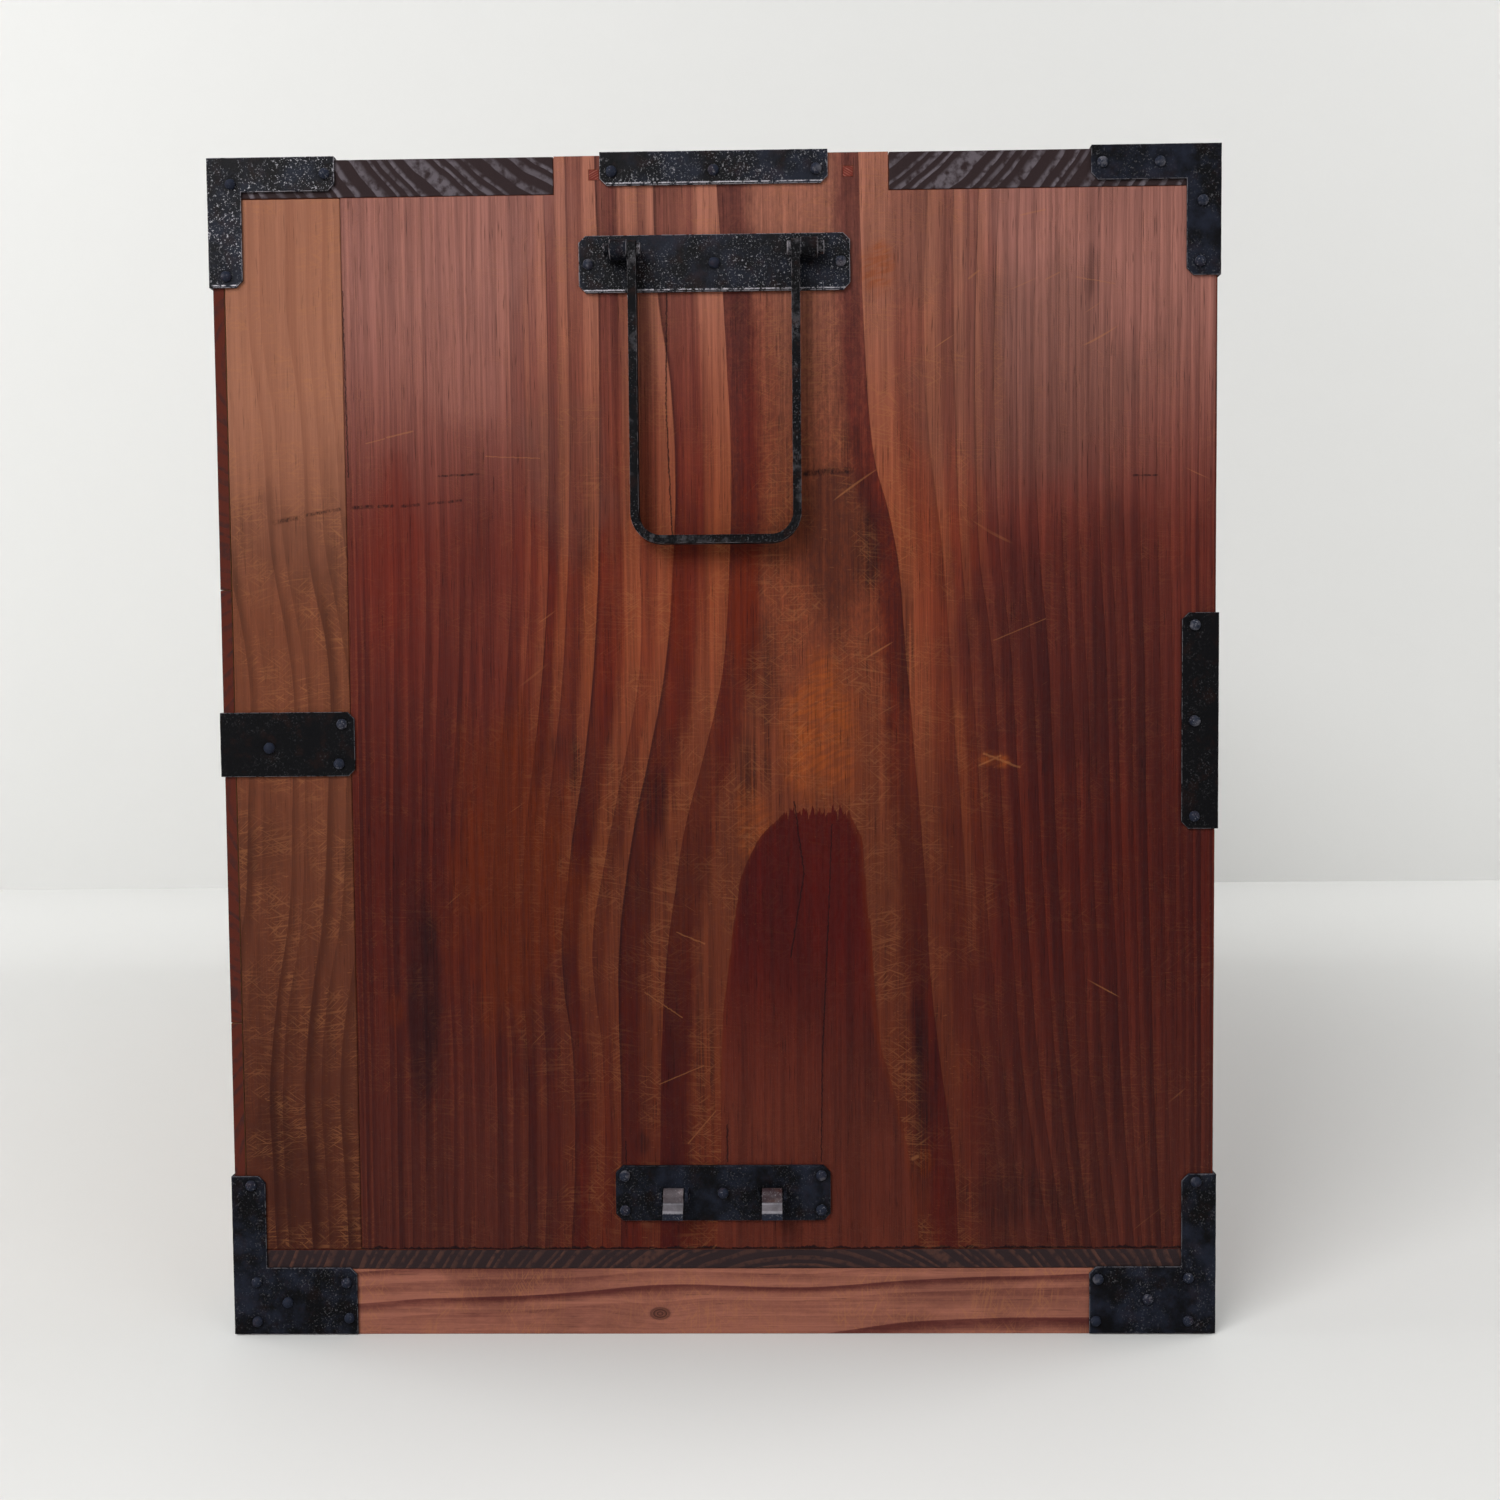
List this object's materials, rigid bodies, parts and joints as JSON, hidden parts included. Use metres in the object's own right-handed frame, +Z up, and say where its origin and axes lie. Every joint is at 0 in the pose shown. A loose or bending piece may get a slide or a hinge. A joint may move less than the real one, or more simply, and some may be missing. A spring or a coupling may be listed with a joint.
{
  "type": "kimono chest",
  "caption": "Iron-bound stacking chest section with full-width drawers, a lifting bail near the top of each end and hinged catches near its foot.",
  "frame": {"origin": "centre of the bounding box on the floor, under the base rails", "axes": "+Z up, the drawer fronts face -Y, and X runs along the width; the pictured end is the -X end"},
  "size_m": [0.924, 0.439, 0.5077],
  "materials": {
    "red_side_wood": "stained and oiled, worn",
    "amber_side_wood": "stained and oiled, worn",
    "dark_end_grain": "matt",
    "lacquered_wood": "dark wiped lacquer",
    "bare_wood": "bare",
    "peg_wood": "matt",
    "black_iron": "black, hammered and pitted",
    "worn_iron": "bare, browned"
  },
  "bodies": {
    "carcass": {"left_side_wide_board": "red_side_wood", "left_side_narrow_board": "amber_side_wood", "right_side_wide_board": "red_side_wood", "right_side_narrow_board": "amber_side_wood", "top_panel": "red_side_wood", "bottom_panel": "dark_end_grain", "shelf_panel": "bare_wood", "mid_rail": "lacquered_wood", "back_board_top": "bare_wood", "back_board_middle": "bare_wood", "back_board_bottom": "bare_wood", "base_rail_left": "red_side_wood", "base_rail_right": "red_side_wood", "base_rail_front": "lacquered_wood", "base_rail_back": "lacquered_wood", "wooden_pegs": "peg_wood", "top_front_irons": "black_iron", "top_back_irons": "black_iron", "bottom_front_irons": "black_iron", "bottom_back_irons": "black_iron", "top_straps": "black_iron", "front_edge_straps": "black_iron", "back_edge_straps": "black_iron", "left_handle_plate": "black_iron", "right_handle_plate": "black_iron", "handle_eyes": "black_iron", "hinge_pins": "worn_iron", "left_catch_plate": "black_iron", "right_catch_plate": "black_iron", "iron_nails": "black_iron"},
    "upper_drawer": {"upper_drawer_front": "lacquered_wood", "upper_drawer_left_side": "bare_wood", "upper_drawer_right_side": "bare_wood", "upper_drawer_back": "bare_wood", "upper_drawer_bottom": "bare_wood", "upper_lock_plate": "black_iron", "upper_lock_case": "worn_iron", "upper_drawer_nails": "black_iron", "upper_pull_posts": "black_iron"},
    "lower_drawer": {"lower_drawer_front": "lacquered_wood", "lower_drawer_left_side": "bare_wood", "lower_drawer_right_side": "bare_wood", "lower_drawer_back": "bare_wood", "lower_drawer_bottom": "bare_wood", "lower_lock_plate": "black_iron", "lower_lock_case": "worn_iron", "lower_drawer_nails": "black_iron", "lower_pull_posts": "black_iron"},
    "upper_lock_bolt": {"upper_lock_bolt": "worn_iron"},
    "lower_lock_bolt": {"lower_lock_bolt": "worn_iron"},
    "upper_left_pull": {"upper_left_pull": "black_iron"},
    "upper_right_pull": {"upper_right_pull": "black_iron"},
    "lower_left_pull": {"lower_left_pull": "black_iron"},
    "lower_right_pull": {"lower_right_pull": "black_iron"},
    "left_bail": {"left_bail": "black_iron"},
    "right_bail": {"right_bail": "black_iron"},
    "left_rear_catch": {"left_rear_catch": "worn_iron"},
    "left_front_catch": {"left_front_catch": "worn_iron"},
    "right_rear_catch": {"right_rear_catch": "worn_iron"},
    "right_front_catch": {"right_front_catch": "worn_iron"}
  },
  "joints": [
    {"name": "upper_drawer_slide", "type": "slide", "parent": "carcass", "child": "upper_drawer", "axis": [0, -1, 0], "range_m": [0, 0.33]},
    {"name": "upper_bolt_slide", "type": "slide", "parent": "upper_drawer", "child": "upper_lock_bolt", "axis": [0, 0, 1], "range_m": [0, 0.007]},
    {"name": "upper_left_pull_swing", "type": "hinge", "parent": "upper_drawer", "child": "upper_left_pull", "pos_m": [-0.21613, -0.2147, 0.39292], "axis": [-1, 0, 0], "range_deg": [-6, 150]},
    {"name": "upper_right_pull_swing", "type": "hinge", "parent": "upper_drawer", "child": "upper_right_pull", "pos_m": [0.21613, -0.2147, 0.39292], "axis": [-1, 0, 0], "range_deg": [-6, 150]},
    {"name": "lower_drawer_slide", "type": "slide", "parent": "carcass", "child": "lower_drawer", "axis": [0, -1, 0], "range_m": [0, 0.33]},
    {"name": "lower_bolt_slide", "type": "slide", "parent": "lower_drawer", "child": "lower_lock_bolt", "axis": [0, 0, 1], "range_m": [0, 0.007]},
    {"name": "lower_left_pull_swing", "type": "hinge", "parent": "lower_drawer", "child": "lower_left_pull", "pos_m": [-0.21613, -0.2147, 0.15817], "axis": [-1, 0, 0], "range_deg": [-6, 150]},
    {"name": "lower_right_pull_swing", "type": "hinge", "parent": "lower_drawer", "child": "lower_right_pull", "pos_m": [0.21613, -0.2147, 0.15817], "axis": [-1, 0, 0], "range_deg": [-6, 150]},
    {"name": "left_bail_swing", "type": "hinge", "parent": "carcass", "child": "left_bail", "pos_m": [-0.45615, 0.0038, 0.464], "axis": [0, 1, 0], "range_deg": [0, 180]},
    {"name": "left_rear_catch_swing", "type": "hinge", "parent": "carcass", "child": "left_rear_catch", "pos_m": [-0.4552, 0.025, 0.0627], "axis": [0, 1, 0], "range_deg": [0, 120]},
    {"name": "left_front_catch_swing", "type": "hinge", "parent": "carcass", "child": "left_front_catch", "pos_m": [-0.4552, -0.0174, 0.0627], "axis": [0, 1, 0], "range_deg": [0, 120]},
    {"name": "right_bail_swing", "type": "hinge", "parent": "carcass", "child": "right_bail", "pos_m": [0.45615, 0.0038, 0.464], "axis": [0, -1, 0], "range_deg": [0, 180]},
    {"name": "right_rear_catch_swing", "type": "hinge", "parent": "carcass", "child": "right_rear_catch", "pos_m": [0.4552, 0.025, 0.0627], "axis": [0, -1, 0], "range_deg": [0, 120]},
    {"name": "right_front_catch_swing", "type": "hinge", "parent": "carcass", "child": "right_front_catch", "pos_m": [0.4552, -0.0174, 0.0627], "axis": [0, -1, 0], "range_deg": [0, 120]}
  ]
}
